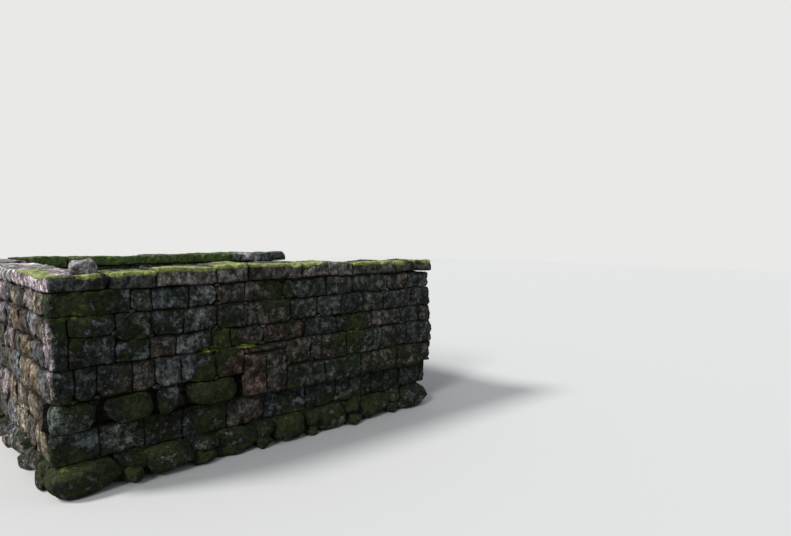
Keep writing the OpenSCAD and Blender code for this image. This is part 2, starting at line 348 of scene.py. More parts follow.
def relief(finish, face, point, shift, edge):
    place = point + shift
    swell = 0.5 + 0.5 * noise.noise(place / HOLLOW_SIZE)
    bent = place + BEND * noise.noise_vector(place / BEND_SIZE)
    pit = max(0.0, 1.0 - noise.voronoi(bent / PIT_SIZE)[0][0] / PIT_RIM)
    grain = 0.5 + 0.5 * noise.fractal(place / GRAIN_SIZE, *GRAIN_FRACTAL)
    worn = max(0.0, 1.0 - edge / ARRIS_REACH)
    chip = max(0.0, noise.noise(place / CHIP_SIZE) - CHIP_START) * max(0.0, 1.0 - edge / CHIP_REACH)
    return (face.depth(point) + finish.swell * swell + finish.pit * pit + finish.grain * grain
            + finish.arris * worn ** 2 * (0.5 + swell) + finish.chip * chip)


def joint_opening(stone, finish, axis, sign, point, shift):
    """How far a side of a joint stands back. The wide part is the same for both stones of the joint."""
    place = point.copy()
    place[axis] = stone.level(axis, sign)
    wide = max(0.0, 0.35 + 1.4 * noise.noise(place / JOINT_SIZE))
    ragged = 0.5 + 0.5 * noise.noise((point + shift) / GRAIN_SIZE)
    share = 1.0 if axis == 2 else finish.upright
    return finish.joint * (wide + 0.6 * ragged) * share


def corner_depth(stone, point, closed, finish, open_corners):
    """How far a corner of the face is worn back; a broken-off one takes a pin."""
    if len(closed) < 2:
        return 0.0
    corner = tuple(point[a] > stone.middle[a] for a in closed)
    return OPEN_CORNER_DEEP if corner in open_corners else CORNER_DEEP * finish.upright


def weather(stone, faces, point, finish, shift, open_corners=()):
    near_open = min(side_depth(stone, axis, sign, point) for axis, sign in faces)
    if near_open >= FADE:
        return point
    moved = point.copy()
    for (axis, sign), face in faces.items():
        depth = side_depth(stone, axis, sign, point)
        if depth < FADE:
            place = point.copy()
            place[axis] = stone.level(axis, sign)
            edge = edge_distance(stone, place, axis, finish)
            moved[axis] -= sign * relief(finish, face, place, shift, edge) * (1 - depth / FADE)
    closed = [a for a in range(3) if (a, 1) not in faces and (a, -1) not in faces]
    worn = corner_depth(stone, point, closed, finish, open_corners)
    for axis in range(3):
        others = [a for a in closed if a != axis]
        corner = max(0.0, 1.0 - nearest_side(stone, point, others) / CORNER_R) if others else 0.0
        for sign in (-1, 1):
            depth = side_depth(stone, axis, sign, point)
            if (axis, sign) not in faces and depth < JOINT_FADE:
                opened = joint_opening(stone, finish, axis, sign, point, shift) + worn * corner ** 1.5
                moved[axis] -= sign * opened * (1 - depth / JOINT_FADE) * (1 - near_open / FADE)
    return moved


middle_depth = relief(SPLIT, probe, test.middle, Vector(), 0.2)
print("Relief at the middle of a block:", round(middle_depth * 1000, 1), "mm")

# %% [markdown]
# ## Wedge marks
# The coping slabs were split off with wedges in a row of drilled holes. Half of each hole stays on the slab's
# face as a shallow upright groove below the top arris. They show well on the left wall's slabs, where light
# rakes them.

# %% Wedge marks
WEDGE_STEP = 0.135
WEDGE_R = 0.020
WEDGE_DEEP = 0.014
WEDGE_LONG = 0.20
WEDGE_FADE = 0.03
MARKED = {"left": 1.0, "near": 0.4, "rear": 0.6, "right": 0.6}


def wedge_mark(node, stone, point):
    axis, sign = OUTWARD[wall_of(node)]
    below = stone.high.z - point.z
    depth = side_depth(stone, axis, sign, point)
    if depth > WEDGE_FADE or below > WEDGE_LONG:
        return 0.0
    along = 1 - axis
    across = (point[along] - stone.low[along]) % WEDGE_STEP - WEDGE_STEP / 2
    round_part = max(0.0, 1.0 - (across / WEDGE_R) ** 2)
    return MARKED[wall_of(node)] * WEDGE_DEEP * math.sqrt(round_part) * (1 - depth / WEDGE_FADE)


print("Wedge marks on a metre of coping:", round(1 / WEDGE_STEP))

# %% [markdown]
# ## Moss, joints and tone as attributes
# Moss sits where the damp stays: on tops, over front arrises, in joints and low down. Its amount, the
# closeness of a joint and a colour for each stone are kept in the mesh as attributes, so that the materials
# can follow the shape and no pattern slides across a joint. The stones of one wall come from one quarry, so
# their tones lie close.

# %% Attributes
# The near wall's tones are darker than the left wall's partly for damp and partly as painted shade, for the
# shade that it stands in
PALETTE = {
    "grey_green": "#50564e", "dark": "#434645", "brown": "#544f48", "red_brown": "#5c4b46",
    "blue_grey": "#4e5456", "pale": "#646665", "tan": "#5b564f", "deep": "#373a39",
    "pink": "#bfaeb2", "ash": "#7a787b", "steel": "#6b6e72", "sand": "#887d6e", "iron": "#7a6b59",
    "umber": "#55514c", "rose": "#938788", "silver": "#a39e9e", "buff": "#77716a",
}


def linear(hex_colour):
    parts = [int(hex_colour[i:i + 2], 16) / 255 for i in (1, 3, 5)]
    return tuple(p / 12.92 if p <= 0.04045 else ((p + 0.055) / 1.055) ** 2.4 for p in parts) + (1.0,)


def blend(first, second, amount):
    return tuple(a + (b - a) * amount for a, b in zip(first, second))


def smooth_step(low, high, value):
    t = min(1.0, max(0.0, (value - low) / (high - low)))
    return t * t * (3 - 2 * t)


def add_layers(bm):
    layers = bm.verts.layers
    return (layers.float_color.new("stone_colour"), layers.float.new("moss"), layers.float.new("joint"))


print("Palette of", len(PALETTE), "stone colours")

# %% [markdown]
# ## Laying a node's stones
# Each node becomes one piece that holds all its stones, so that the pieces keep the imported names. The stones
# of the near and left walls that show well are given their colours in order; the others take one by chance.

# %% Colours in order
# The dark first slab of the near coping is painted shadow, and the darkest tones of the near wall are partly
# painted shade
SHOWN_COLOURS = {
    "near_coping": ["dark", "buff", "buff", "umber", "buff", "umber", "brown"],
    "near_course_4": ["dark", "grey_green", "blue_grey", "pale", "brown", "brown", "grey_green", "dark"],
    "near_course_3": ["blue_grey", "grey_green", "dark", "pale", "dark", "brown", "grey_green"],
    "near_course_2": ["dark", "blue_grey", "brown", "pale", "tan", "brown", "red_brown", "dark"],
    "near_course_1": ["blue_grey", "dark", "deep", "brown", "pale", "blue_grey", "red_brown", "brown"],
    "near_ledge": ["grey_green", "deep", "dark", "deep", "dark", "grey_green", "brown"],
    "near_jumpers": ["red_brown", "red_brown", "brown"],
    "near_quoin": ["rose"],
    "left_coping": ["pink", "silver", "pink", "silver"],
    "rear_coping": ["grey_green", "brown", "pale", "grey_green", "silver", "silver"],
    "left_course_4": ["sand", "rose", "umber", "sand", "ash"],
    "left_course_3": ["umber", "ash", "umber", "iron", "ash"],
    "left_course_2": ["ash", "steel", "iron", "umber", "rose"],
    "left_course_1": ["steel", "iron", "sand", "steel", "umber"],
}
CHANCE_COLOURS = {
    "near": ["grey_green", "dark", "brown", "blue_grey", "tan", "dark"],
    "left": ["ash", "umber", "umber", "rose", "sand", "ash"],
    "rear": ["grey_green", "umber", "blue_grey", "pale", "brown", "dark"],
    "right": ["umber", "pale", "blue_grey", "grey_green", "tan", "brown"],
}


def colour_names(node, count):
    shown = SHOWN_COLOURS.get(node, [])[:count]
    return shown + [random.choice(CHANCE_COLOURS[wall_of(node)]) for _ in range(count - len(shown))]


def in_order(node):
    """The stones of a node from the near left corner onwards, row by row."""
    along = 1 - OUTWARD[wall_of(node)][0]
    has_rows = node.endswith("backing")
    return sorted(stones[node], key=lambda s: (round(s.low.z, 2) if has_rows else 0, s.middle[along]))


print("First colour of the near coping:", colour_names("near_coping", 7)[0])

# %% [markdown]
# ## How much moss
# The near wall stands in damp shade and is the greenest, above all at its left end and on the boulders at its
# foot. The sunny left wall has little. On the coping the moss forms cushions that creep over the front arris,
# so there the stone's own surface swells outwards a little.

# %% Moss amounts
WETNESS = {"near": 0.36, "left": 0.16, "rear": 0.40, "right": 0.32, "loose": 0.05}
COPING_WETNESS = {"near": 0.42, "left": 0.24, "rear": 0.40, "right": 0.30}
LOW_DOWN = 0.9
CUSHION = 0.022
# Greener and, with a minus, barer spots of the walls: middle, reach and strength
MOSSY_SPOTS = [
    ((-3.35, -3.65, 2.80), 0.75, 0.45), ((-2.50, -3.65, 1.15), 0.55, 0.35),
    ((-1.45, -3.65, 1.15), 0.70, 0.45), ((-1.10, -3.65, 1.95), 0.45, 0.30),
    ((-2.55, -3.65, 2.30), 0.40, 0.20), ((-0.20, -3.65, 2.75), 0.60, 0.25),
    ((1.60, -3.65, 1.60), 0.90, 0.25), ((-3.78, -3.30, 2.95), 0.25, 0.35),
    ((-3.78, -2.40, 2.2), 0.40, 0.25), ((-2.10, -3.65, 1.70), 0.60, -0.28),
    ((-3.15, -3.65, 1.75), 0.40, -0.20), ((-0.45, -3.65, 1.30), 0.50, -0.25),
]
# Size and strength of the clouds that break up the moss, on the walls and along the edge of a cushion
WALL_PATCHES = ((0.55, 0.34), (0.17, 0.24))
CREEP = ((0.30, 0.55), (0.09, 0.35))
FRESH_LEDGES = [((-1.39, -3.65, 1.875), 0.17), ((-0.76, -3.65, 1.870), 0.27), ((-3.42, -3.65, 1.70), 0.04)]
LEDGE_HIGH = 0.040
BARE_SPOT, BARE_REACH = (2.62, 2.80, 3.10), 0.45
FOOT_CUSHION, FOOT_REACH = (-3.20, -3.61, 3.18), (0.25, 0.17, 0.07)


def clouds(point, layers):
    return sum(strength * noise.noise(point / size) for size, strength in layers)


def spot_moss(point):
    return sum(strength * smooth_step(reach, 0.25 * reach, (point - Vector(centre)).length)
               for centre, reach, strength in MOSSY_SPOTS)


def ledge_moss(point):
    """Fresh moss on two small ledges of the near wall, in strips that are much longer than high."""
    total = 0.0
    for centre, reach in FRESH_LEDGES:
        away = point - Vector(centre)
        span = math.hypot(away.x / reach, away.z / LEDGE_HIGH)
        total += 0.8 * smooth_step(1.0, 0.3, span + 0.4 * noise.noise(point / 0.04))
    return total if point.y < -3.4 else 0.0


def foot_moss(point):
    """The cushion of moss before the loose boulder, over the near arris of the corner slab."""
    away = point - Vector(FOOT_CUSHION)
    span = math.hypot(*(a / reach for a, reach in zip(away, FOOT_REACH)))
    return smooth_step(1.0, 0.6, span + 0.4 * noise.noise(point / 0.05))


def moss_on_wall(node, point, joint):
    wet = WETNESS[wall_of(node)] + (0.08 if node.endswith("backing") else 0.0)
    low = 0.25 * max(0.0, 1.0 - point.z / LOW_DOWN)
    total = wet + clouds(point, WALL_PATCHES) + low + 0.16 * joint + spot_moss(point)
    return min(1.0, max(0.0, total)) + ledge_moss(point)


def moss_on_coping(node, stone, point):
    """Cushions over the front arris, a thinner coat on top, a film elsewhere, and none on the bare spot."""
    wet = COPING_WETNESS[wall_of(node)]
    axis, sign = OUTWARD[wall_of(node)]
    behind = side_depth(stone, axis, sign, point)
    below = side_depth(stone, 2, 1, point)
    reach = behind / 0.30 + below / (0.03 + 0.08 * wet)
    growing = smooth_step(-0.25, 0.1, noise.noise(point / 0.8) + wet - 0.2)
    edge = smooth_step(1.3, 0.5, reach + clouds(point, CREEP)) * growing
    top = smooth_step(0.2, 0.8, wet + 0.1 + 0.5 * noise.noise(point / 0.35)) * smooth_step(0.05, 0.0, below)
    film = 0.6 * moss_on_wall(node, point, 0.0)
    inner = 0.9 * smooth_step(0.6, 0.82, behind) if node.startswith("rear") else 0.0
    bare = smooth_step(BARE_REACH, 0.5 * BARE_REACH, (point - Vector(BARE_SPOT)).length)
    return min(1.0, max(edge, 0.85 * top, film, inner, foot_moss(point))) * (1 - bare)


def cushion_push(node, point, amount):
    """How far moss lifts the surface of a coping slab: up, and a little outwards."""
    lump = 0.6 + 0.4 * noise.noise(point / 0.05)
    push = Vector((0, 0, 1.0))
    axis, sign = OUTWARD[wall_of(node)]
    push[axis] = 0.35 * sign
    return push * (CUSHION * lump * smooth_step(0.55, 1.0, amount))


low_spot = Vector((0, -3.6, 0.5))
print("Moss low on the near wall:", round(moss_on_wall("near_foot", low_spot, 0.5), 2))

# %% [markdown]
# ## The sunny side and the painted shade of a quoin
# The stones at the near left corner belong to two walls. Their left side takes the tone of the sunny left wall,
# and their near side is painted dark as shade, so their tone changes at the arris.

# %% Quoins
SUNNY_TONES = ["rose", "ash", "steel", "ash"]
QUOIN_BELOW = (-3.7, -3.55)
ARRIS_HALF = 0.02


def quoin_tone_and_painted_shade(stone, point, colour, sunny, painted_shade_tone):
    if stone.low.x > QUOIN_BELOW[0] or stone.low.y > QUOIN_BELOW[1]:
        return colour
    from_left = point.x - stone.low.x
    from_near = point.y - stone.low.y
    # The near side takes the dark tone, which is painted shade
    return blend(painted_shade_tone, sunny, smooth_step(ARRIS_HALF, -ARRIS_HALF, from_left - from_near))


print("Sunny tones:", SUNNY_TONES)

# %% [markdown]
# ## Squared stones
# A course stone, a coping slab and an inner stone are all made the same way: cut into cells, coloured,
# greened and weathered. Their cells differ. The walls that the main view shows get the finest, and a slab
# gets its finest cells along the arris, where the moss cushions end. Flat cells that the relief left alone
# are dissolved at the end.

# %% Squared stones
OUTER_CELL = {"near": 0.0165, "left": 0.018, "rear": 0.026, "right": 0.026}
BACK_CELL = 0.048
SLAB_CELLS = (0.0135, 0.038, 0.021)
JOINT_REACH = 0.05


def cells_for(node):
    if node.endswith("coping"):
        along = 1 - OUTWARD[wall_of(node)][0]
        return [SLAB_CELLS[0] if a == along else SLAB_CELLS[2 if a == 2 else 1] for a in range(3)]
    return [BACK_CELL if node.endswith("backing") else OUTER_CELL[wall_of(node)]] * 3


def finish_for(node):
    if node.endswith("coping"):
        return SLAB
    if node.endswith("backing"):
        return BACK
    return TIGHT if wall_of(node) in ("near", "rear") else SPLIT


def joint_closeness(stone, faces, finish, point):
    """From 0 away from the joints to 1 in a bed. An upright joint counts by how open it is."""
    closeness = 0.0
    for axis in range(3):
        share = 1.0 if axis == 2 else finish.upright
        for sign in (-1, 1):
            if (axis, sign) not in faces:
                depth = side_depth(stone, axis, sign, point)
                closeness = max(closeness, share * (1.0 - depth / JOINT_REACH))
    return closeness


def squared_stone(node, stone, colour_name, shift, open_corners=()):
    sides = sorted(open_sides(node, stone))
    bm = cut_block(stone, sides, cells_for(node))
    colour_layer, moss_layer, joint_layer = add_layers(bm)
    finish = finish_for(node)
    faces = {side: SplitFace(stone, side[0], finish) for side in sides}
    is_slab = node.endswith("coping")
    colour = linear(PALETTE[colour_name])
    is_near = wall_of(node) == "near" and node != "near_quoin"
    # A quoin's near side is painted dark as shade: a near stone uses its own colour there, and the others take
    # the dark tone
    painted_shade_tone = colour if is_near else linear(PALETTE["dark"])
    sunny = linear(PALETTE[random.choice(SUNNY_TONES)]) if is_near else colour
    axis, sign = OUTWARD[wall_of(node)]
    for vert in bm.verts:
        point = vert.co.copy()
        joint = joint_closeness(stone, faces, finish, point)
        amount = moss_on_coping(node, stone, point) if is_slab else moss_on_wall(node, point, joint)
        moved = weather(stone, faces, point, finish, shift, open_corners)
        if is_slab:
            mark = wedge_mark(node, stone, point) * (1 - amount)
            moved[axis] -= sign * mark
            moved += cushion_push(node, point, amount)
            # The wedge grooves count as joints, so they take dirt and painted shade
            joint = max(joint, 0.75 * mark / WEDGE_DEEP)
        vert.co = moved
        vert[colour_layer] = quoin_tone_and_painted_shade(stone, point, colour, sunny, painted_shade_tone)
        vert[moss_layer] = amount
        vert[joint_layer] = joint
    bmesh.ops.dissolve_limit(bm, angle_limit=FLAT_ANGLE, verts=bm.verts[:], edges=bm.edges[:])
    return bm


trial = squared_stone("near_course_4", test, "pale", Vector())
print("Faces of one finished block:", len(trial.faces))
trial.free()

# %% [markdown]
# ## Boulders
# The ice sheet rolled the field boulders round, but never quite: each has a few broad flats. The packed
# boulder is a hull with few corners, so a copy of it is subdivided and smoothed. Points beyond a few planes
# are then drawn back to them, which gives the flats, and a last smoothing softens the rims.

# %% Boulder
BOULDER_CUTS = 4
BOULDER_ROUNDS = 5
BOULDER_ROUGH = 0.024
FLATS = 9
ROUND_HOLLOW, ROUND_GRAIN = 0.25, 0.08
ROUND_FRACTAL = (0.9, 2.1, 3)


def smooth(bm, rounds):
    for _ in range(rounds):
        bmesh.ops.smooth_vert(bm, verts=bm.verts[:], factor=0.5, use_axis_x=True, use_axis_y=True,
                              use_axis_z=True)


def flatten(bm, flats, least, most):
    """Draws points that lie beyond a plane back to it, for a few planes in random directions."""
    middle = sum((v.co for v in bm.verts), Vector()) / len(bm.verts)
    for _ in range(flats):
        direction = Vector([random.gauss(0, 1) for _ in range(3)]).normalized()
        reach = max((v.co - middle).dot(direction) for v in bm.verts) * random.uniform(least, most)
        for vert in bm.verts:
            beyond = (vert.co - middle).dot(direction) - reach
            if beyond > 0:
                vert.co -= direction * (0.9 * beyond)


def finish_round_stone(bm, node, colour_name, shift, rough_depth, floor_z):
    bmesh.ops.recalc_face_normals(bm, faces=bm.faces[:])
    bm.normal_update()
    colour_layer, moss_layer, joint_layer = add_layers(bm)
    colour = linear(PALETTE[colour_name])
    for vert in bm.verts:
        place = vert.co + shift
        hollow = 0.5 + 0.5 * noise.noise(place / ROUND_HOLLOW)
        rough = hollow + 0.3 * noise.fractal(place / ROUND_GRAIN, *ROUND_FRACTAL)
        amount = moss_on_wall(node, vert.co, 0.0) + 0.22 * vert.normal.z
        moved = vert.co - vert.normal * (rough_depth * rough)
        moved.z = max(moved.z, floor_z)
        vert.co = moved
        vert[colour_layer] = colour
        vert[moss_layer] = min(1.0, max(0.0, amount))
        vert[joint_layer] = 0.0
    return bm


def boulder(node, stone, colour_name, shift):
    bm = bmesh.new()
    corners = [bm.verts.new(p) for p in stone.points]
    for face in stone.faces:
        bm.faces.new([corners[i] for i in face])
    bmesh.ops.subdivide_edges(bm, edges=bm.edges[:], cuts=BOULDER_CUTS, use_grid_fill=True)
    smooth(bm, BOULDER_ROUNDS)
    flatten(bm, FLATS, 0.72, 0.9)
    smooth(bm, 1)
    return finish_round_stone(bm, node, colour_name, shift, BOULDER_ROUGH, stone.low.z)


print("Flats drawn on each boulder:", FLATS)

# %% [markdown]
# ## Small stones
# Dry masonry needs pinning: small stones are driven into the gaps between boulders, so that nothing can roll.
# A cube is subdivided, smoothed a little and stretched, and flats are drawn on it as on a boulder, because a
# split chip keeps its blocky shape. It lies in the gap on the stones below it.

# %% Small stones
# Heights, lengths and depths of the pins, how far in their two sets lie, and the block that fills the gap
PIN_ROWS = (0.22, 0.20)
PIN_LONG, PIN_DEEP, PIN_SETS = (0.30, 0.40), (0.26, 0.34), (0.24, 0.62)
FILL_LONG, FILL_DEEP, FILL_HIGH, FILL_INWARD = 0.62, 0.36, 0.54, 0.49
PIN_ROUGH = 0.006
# The pins in broken corners, and the loose chips on the core
CORNER_PIN_LONG, CORNER_PIN_DEEP, CORNER_PIN_HIGH = (0.085, 0.12), 0.16, (0.05, 0.07)
CHIP_LONG, CHIP_WIDE, CHIP_HIGH = (0.07, 0.15), (0.06, 0.12), (0.04, 0.07)


def small_stone(node, place, size, colour_name, tilt=0.3, flats=8):
    shift = Vector([random.uniform(0, SHIFT_SPAN) for _ in range(3)])
    bm = bmesh.new()
    bmesh.ops.create_cube(bm, size=1.0)
    bmesh.ops.subdivide_edges(bm, edges=bm.edges[:], cuts=3, use_grid_fill=True)
    smooth(bm, 2)
    bmesh.ops.scale(bm, vec=size, verts=bm.verts[:])
    turn = Matrix.Rotation(random.uniform(-0.6, 0.6), 3, "Z")
    turn = turn @ Matrix.Rotation(random.uniform(-tilt, tilt), 3, "Y")
    bmesh.ops.rotate(bm, cent=(0, 0, 0), matrix=turn, verts=bm.verts[:])
    bmesh.ops.translate(bm, vec=place, verts=bm.verts[:])
    flatten(bm, flats, 0.55, 0.85)
    return finish_round_stone(bm, node, colour_name, shift, PIN_ROUGH, 0.0)


def base_row(node):
    """The foot boulders of a wall in order, with the corner boulders that it shares."""
    axis, sign = OUTWARD[wall_of(node)]
    row = in_order(node)
    if axis == 0:
        end = 0 if sign < 0 else -1
        row = [in_order("near_base")[end]] + row + [in_order("rear_base")[end]]
    return row


def pins_between(node, first, second):
    """Two rows of small stones in the gap between two foot boulders, at the outer and the inner face."""
    axis, sign = OUTWARD[wall_of(node)]
    along = 1 - axis
    outer = min(sign * s.level(axis, sign) for s in (first, second))
    parts = []
    for inward in PIN_SETS:
        height = 0.0
        for tall in PIN_ROWS:
            size = Vector((0.0, 0.0, tall * random.uniform(1.0, 1.15)))
            size[along] = random.uniform(*PIN_LONG)
            size[axis] = random.uniform(*PIN_DEEP)
            place = Vector()
            place[along] = (first.high[along] + second.low[along]) / 2 + random.uniform(-0.03, 0.03)
            place[axis] = sign * (outer - inward + random.uniform(-0.03, 0.03))
            place.z = height + size.z / 2
            parts.append(small_stone(node, place, size, random.choice(CHANCE_COLOURS[wall_of(node)])))
            height += tall
    size[along], size[axis], size.z = FILL_LONG, FILL_DEEP, FILL_HIGH
    place[axis] = sign * (outer - FILL_INWARD)
    place.z = size.z / 2
    parts.append(small_stone(node, place, size, "dark", tilt=0.0, flats=0))
    return parts


def corner_pin(node, place, level, is_top):
    """A small stone in the corners broken off two neighbours, where their joint meets the bed."""
    axis, sign = OUTWARD[wall_of(node)]
    along = 1 - axis
    size = Vector()
    size[along] = random.uniform(*CORNER_PIN_LONG)
    size[axis] = CORNER_PIN_DEEP
    size.z = random.uniform(*CORNER_PIN_HIGH)
    centre = Vector()
    centre[along] = place[along] + random.uniform(-0.01, 0.01)
    centre[axis] = place[axis] - sign * (0.5 * size[axis] + 0.012)
    centre.z = level + (-0.4 if is_top else 0.4) * size.z
    return small_stone(node, centre, size, random.choice(CHANCE_COLOURS[wall_of(node)]), tilt=0.15)


def rubble_on(node, stone, count):
    """Loose chips of stone on the bare core of the wall."""
    parts = []
    for _ in range(count):
        size = Vector([random.uniform(*span) for span in (CHIP_LONG, CHIP_WIDE, CHIP_HIGH)])
        place = Vector([random.uniform(stone.low[a] + 0.02, stone.high[a] - 0.02) for a in range(3)])
        place.z = stone.high.z + 0.3 * size.z
        parts.append(small_stone(node, place, size, random.choice(CHANCE_COLOURS["right"]), tilt=0.5))
    return parts


print("Rows of pins under a wall:", len(PIN_ROWS))

# %% [markdown]
# ## Settling
# Frost and a soft footing have moved the walls for two hundred years, so no bed or joint is quite straight.
# One slow wave and one quick one run through the whole wall and shift neighbours together, so no joint opens
# or closes.

# %% Settling
SLOW_WAVE, SLOW_SHIFT = 0.60, 0.034
QUICK_WAVE, QUICK_SHIFT = 0.19, 0.014


def settled(point):
    shift = SLOW_SHIFT * noise.noise_vector(point / SLOW_WAVE)
    shift += QUICK_SHIFT * noise.noise_vector(point / QUICK_WAVE)
    shift.z *= smooth_step(0.0, 0.6, point.z)
    return point + shift


travel = [(settled(v) - v).length for v in stones["near_course_2"][2].points]
print("Corners of one block move by up to", round(max(travel) * 1000, 1), "mm")

# %% [markdown]
# ## Making the pieces
# One mesh holds a node's stones. Smooth shading with sharp edges kept at steep folds lets a broken ridge
# catch the light while a worn arris stays soft.

# %% Pieces
SHARP = math.radians(38)


def piece_from(name, parts, has_settled=True):
    whole = bmesh.new()
    add_layers(whole)
    for part in parts:
        if has_settled:
            for vert in part.verts:
                vert.co = settled(vert.co)
        mesh = bpy.data.meshes.new("part")
        part.to_mesh(mesh)
        part.free()
        whole.from_mesh(mesh)
        bpy.data.meshes.remove(mesh)
    mesh = bpy.data.meshes.new(name)
    whole.to_mesh(mesh)
    whole.free()
    mesh.shade_smooth()
    mesh.set_sharp_from_angle(angle=SHARP)
    return add_to_scene(name, mesh)


print("Edges stay sharp above", round(math.degrees(SHARP)), "degrees")

# %% [markdown]
# ## Pinned corners
# Where the corners of two neighbours have broken off at a bed, the mason pushed a chip into the hole. About a
# quarter of the joints get one: the corners of both stones are worn back far, and a small stone sits between
# them.

# %% Pinned corners
PINNED_SHARE = 0.28


def pinned_corners(node, ordered):
    """Picks joints to pin, and gives the open corners of each stone and the pins."""
    axis, sign = OUTWARD[wall_of(node)]
    along = 1 - axis
    corners = [set() for _ in ordered]
    pins = []
    for i, (first, second) in enumerate(zip(ordered, ordered[1:])):
        for is_top in (False, True):
            if first.is_boulder or second.is_boulder or random.random() > PINNED_SHARE:
                continue
            corners[i].add((True, is_top))
            corners[i + 1].add((False, is_top))
            place = Vector()
            place[along] = (first.high[along] + second.low[along]) / 2
            place[axis] = first.level(axis, sign)
            level = first.level(2, 1 if is_top else -1)
            pins.append(corner_pin(node, place, level, is_top))
    return corners, pins


print("Share of corners with a pin:", PINNED_SHARE)

# %% [markdown]
# ## Building the walls
# Each node is laid stone by stone, in order from the near left corner, and seeded by its name. Boulder feet
# also get the pins between them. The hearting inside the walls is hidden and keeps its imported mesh. Only the
# right wall has lost its top, so loose chips lie on its bare core, which hasn't moved with the faces.

# %% Building the walls
def make_node(node):
    random.seed(node)
    if wall_of(node) not in OUTWARD:
        shift = Vector((3.0, 5.0, 7.0))
        return piece_from(node + "_stones", [boulder(node, stones[node][0], "silver", shift)])
    ordered = in_order(node)
    corners, parts = [()] * len(ordered), []
    if "course" in node or node.endswith("foot"):
        corners, parts = pinned_corners(node, ordered)
    for stone, colour_name, broken in zip(ordered, colour_names(node, len(ordered)), corners):
        shift = Vector([random.uniform(0, SHIFT_SPAN) for _ in range(3)])
        if stone.is_boulder:
            parts.append(boulder(node, stone, colour_name, shift))
        else:
            parts.append(squared_stone(node, stone, colour_name, shift, broken))
    if node.endswith("base"):
        for first, second in zip(base_row(node), base_row(node)[1:]):
            parts += pins_between(node, first, second)
    return piece_from(node + "_stones", parts)


CORE_CHIPS = 160
pieces = {node: make_node(node) for node in sorted(frame["nodes"]) if not node.endswith("hearting")}
core = stones["right_hearting"][0]
chips = piece_from("right_core_chips", rubble_on("right_hearting", core, CORE_CHIPS), has_settled=False)
triangles = [sum(len(f.vertices) - 2 for f in piece.data.polygons) for piece in pieces.values()]
print("Triangles:", sum(triangles), "most in a piece:", max(triangles))

# %% [markdown]
# ## Bedding the loose boulder
# The loose boulder lies on a worn slab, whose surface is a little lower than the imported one. Rays cast down
# from the boulder measure how far away it is. The boulder is then drawn down, with its top kept in place,
# until its underside sits a little way in the hollow that it has pressed into the moss.

# %% Loose boulder
BEDDED = 0.012


def bed_onto(piece, below):
    """Draws a piece down onto the surface of another, with its top kept, and gives the gap that was left."""
    polygons = [list(polygon.vertices) for polygon in below.data.polygons]
    surface = BVHTree.FromPolygons([v.co for v in below.data.vertices], polygons)
    points = [v.co.copy() for v in piece.data.vertices]
    gaps = [surface.ray_cast(point, Vector((0, 0, -1)))[3] for point in points]
    gap = min(g for g in gaps if g is not None)
    top, bottom = max(p.z for p in points), min(p.z for p in points)
    for vert, point in zip(piece.data.vertices, points):
        vert.co.z = top - (top - point.z) * (1 + (gap + BEDDED) / (top - bottom))
    return gap


gap = bed_onto(pieces["loose_boulder"], pieces["left_coping"])
print("The slab was", round(gap * 1000), "mm below the boulder")

# %% [markdown]
# ## Adding nodes
# A material is a tree of nodes. One function adds a node of any kind with its settings and links, and gives
# back the output that is asked for, so that a layer of a finish stays one short statement. All patterns read
# Object coordinates, which are metres in the shared frame, so a scale follows from a size in millimetres.

# %% Node helper
def add(tree, kind, inputs=(), out=None, **settings):
    """Adds a shader node with its settings and links, and gives the node or the output that is asked for."""
    node = tree.nodes.new("ShaderNode" + kind)
    for name, value in settings.items():
        setattr(node, name, value)
    for key, value in dict(inputs).items():
        if isinstance(value, bpy.types.NodeSocket):
            tree.links.new(value, node.inputs[key])
        else:
            node.inputs[key].default_value = value
    return node if out is None else node.outputs[out]


def per_mm(size_mm):
    """Pattern scale for Object coordinates in metres, from the size of one cell in millimetres."""
    return 1000.0 / size_mm


def new_material(name):
    material = bpy.data.materials.new(name)
    material.use_nodes = True
    material.node_tree.nodes.clear()
    return material


print("One cell of 7 mm is a scale of", round(per_mm(7)))

# %% [markdown]
# ## Bare granite
# Granite is feldspar, quartz and mica in grains of a few millimetres. A hand-split face stays rough, and long
# weathering makes it lighter and darker at every size: broad fields that run over the joints, patches,
# mottling, and the grit of the broken grain. Each layer is a noise of one size that multiplies the stone's
# own colour.

# %% Bare granite
GRAIN_MM = 7
GRIT_MM = 16
# For each layer: size in mm, detail, roughness, the noise's range that shows, its darkest and its lightest
TONE_LAYERS = {
    "fields": (600, 6.0, 0.62, 0.38, 0.64, 0.56, 1.34),
    "patches": (170, 8.0, 0.70, 0.44, 0.58, 0.42, 2.00),
    "mottling": (70, 9.0, 0.75, 0.42, 0.60, 0.40, 1.60),
    "grit": (GRIT_MM, 3.0, 0.70, 0.40, 0.60, 0.62, 1.36),
}


def bare_granite(tree, place, tone, plain):
    if plain:
        colour = linear(plain)
    else:
        colour = add(tree, "Attribute", out="Color", attribute_name="stone_colour")
    grains = add(tree, "TexVoronoi", {"Vector": place, "Scale": per_mm(GRAIN_MM)}, "Color")
    light = add(tree, "MapRange", {"Value": grains, "From Min": 0.15, "From Max": 0.85, "To Min": 0.64 * tone,
                                   "To Max": 1.26 * tone}, "Result")
    for size_mm, detail, roughness, low, high, dark, pale in TONE_LAYERS.values():
        cloud = add(tree, "TexNoise", {"Vector": place, "Scale": per_mm(size_mm), "Detail": detail,
                                       "Roughness": roughness}, "Fac")
        shade = add(tree, "MapRange", {"Value": cloud, "From Min": low, "From Max": high, "To Min": dark,
                                       "To Max": pale}, "Result")
        light = add(tree, "Math", {0: light, 1: shade}, 0, operation="MULTIPLY")
    return add(tree, "Mix", {0: 1.0, 6: colour, 7: light}, 2, data_type="RGBA", blend_type="MULTIPLY")


print("Layers of light and dark:", ", ".join(TONE_LAYERS))

